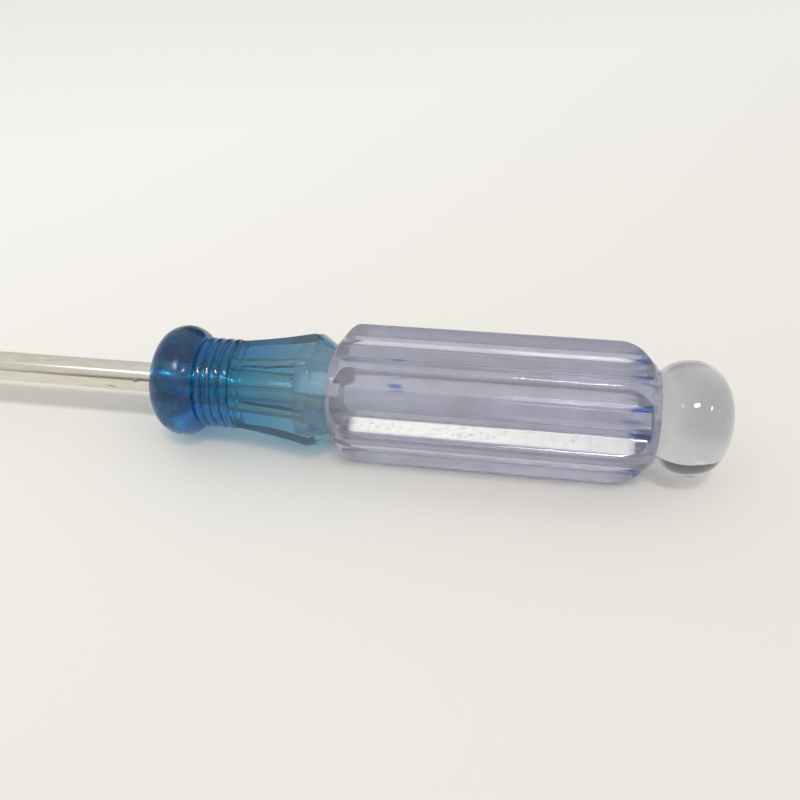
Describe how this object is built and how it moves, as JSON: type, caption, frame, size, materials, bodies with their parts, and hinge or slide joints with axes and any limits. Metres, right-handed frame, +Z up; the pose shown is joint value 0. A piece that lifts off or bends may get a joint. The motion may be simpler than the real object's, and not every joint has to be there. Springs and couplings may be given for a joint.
{
  "type": "crystal-handled screwdriver",
  "caption": "Small fixed-blade slotted screwdriver with a clear fluted handle, a blue ringed collar and a ball end.",
  "frame": {"origin": "under the middle of the tool's length, on the plane that its two lowest ridges rest on", "axes": "+X along the tool from the ground tip to the ball end, +Z up as the tool lies, +Y to the left of someone who looks along +X"},
  "size_m": [0.1334, 0.0144, 0.0128],
  "materials": {
    "plated_steel": "bright plated, with fine handling nicks",
    "blue_plastic": "transparent, polished",
    "clear_plastic": "transparent, polished",
    "lavender_plastic": "transparent, polished, lightly scuffed"
  },
  "bodies": {
    "root": {"blade": "plated_steel", "collar": "blue_plastic", "core": "clear_plastic", "grip": "lavender_plastic"}
  },
  "joints": []
}
